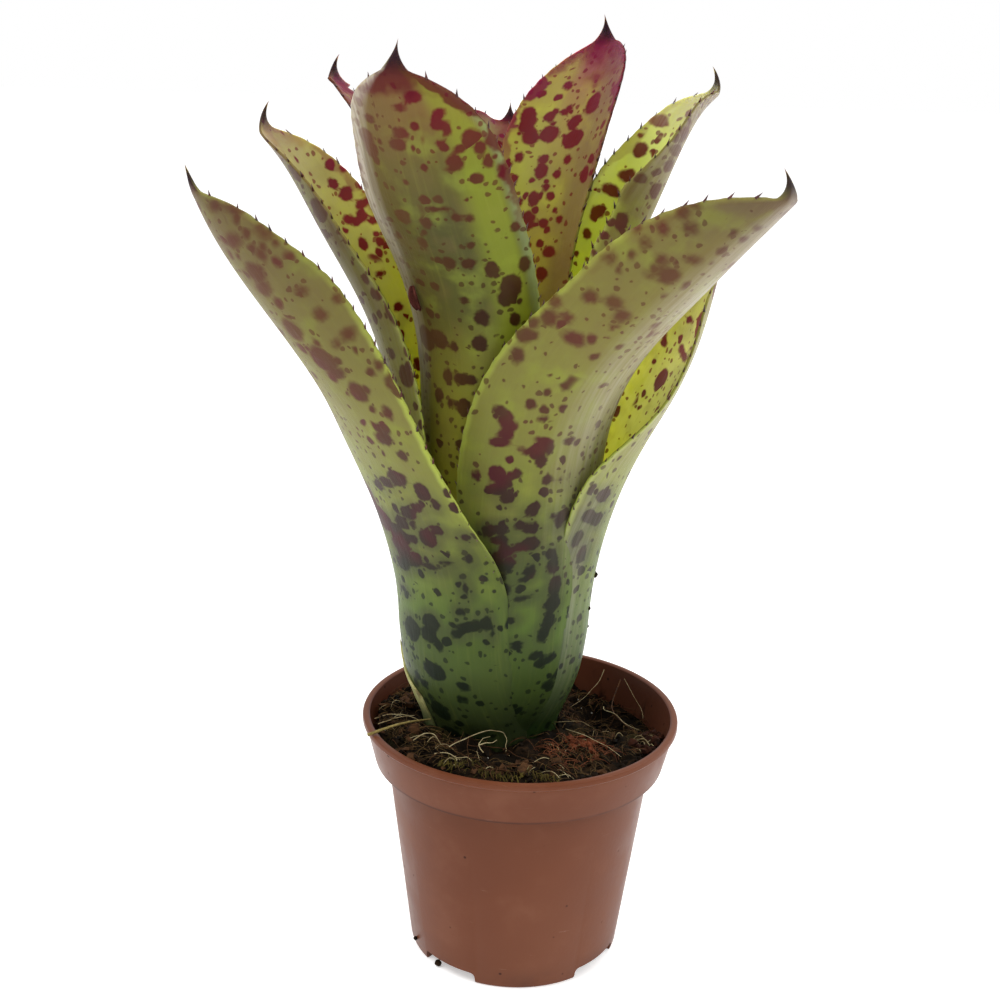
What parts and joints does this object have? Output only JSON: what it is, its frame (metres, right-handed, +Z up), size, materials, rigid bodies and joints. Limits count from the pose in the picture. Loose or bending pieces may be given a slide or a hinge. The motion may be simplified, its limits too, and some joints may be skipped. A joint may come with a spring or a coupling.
{
  "type": "potted neoregelia bromeliad",
  "caption": "Young bromeliad with arching, spotted, spine-edged leaves that rise from a leaf tube, rooted in a small round plastic nursery pot.",
  "frame": {"origin": "centre of the pot's flat base, on the surface that it stands on", "axes": "+Z up along the pot's axis; -Y towards the show side, +X to its right"},
  "size_m": [0.098, 0.0857, 0.1749],
  "materials": {
    "pot_plastic": "satin terracotta-brown moulded plastic",
    "peat_mix": "rough damp peat and bark mix",
    "stem_tissue": "dull fibrous stem",
    "leaf_blade": "waxy green leaf with crimson spots and a fine grey bloom outside",
    "young_blade": "waxy light green young leaf with few spots",
    "dried_blade": "dry papery pale olive leaf"
  },
  "bodies": {
    "root": {"pot": "pot_plastic", "potting_mix": "peat_mix", "stem": "stem_tissue", "leaf_front_left": "leaf_blade", "leaf_right": "leaf_blade", "leaf_front_right": "leaf_blade", "leaf_back": "leaf_blade", "leaf_left": "leaf_blade", "leaf_back_right_outer": "leaf_blade", "leaf_back_left": "leaf_blade", "leaf_front_centre": "leaf_blade", "leaf_back_right_inner": "leaf_blade", "leaf_young_outer": "young_blade", "leaf_young_inner": "young_blade", "leaf_dried": "dried_blade"}
  },
  "joints": []
}
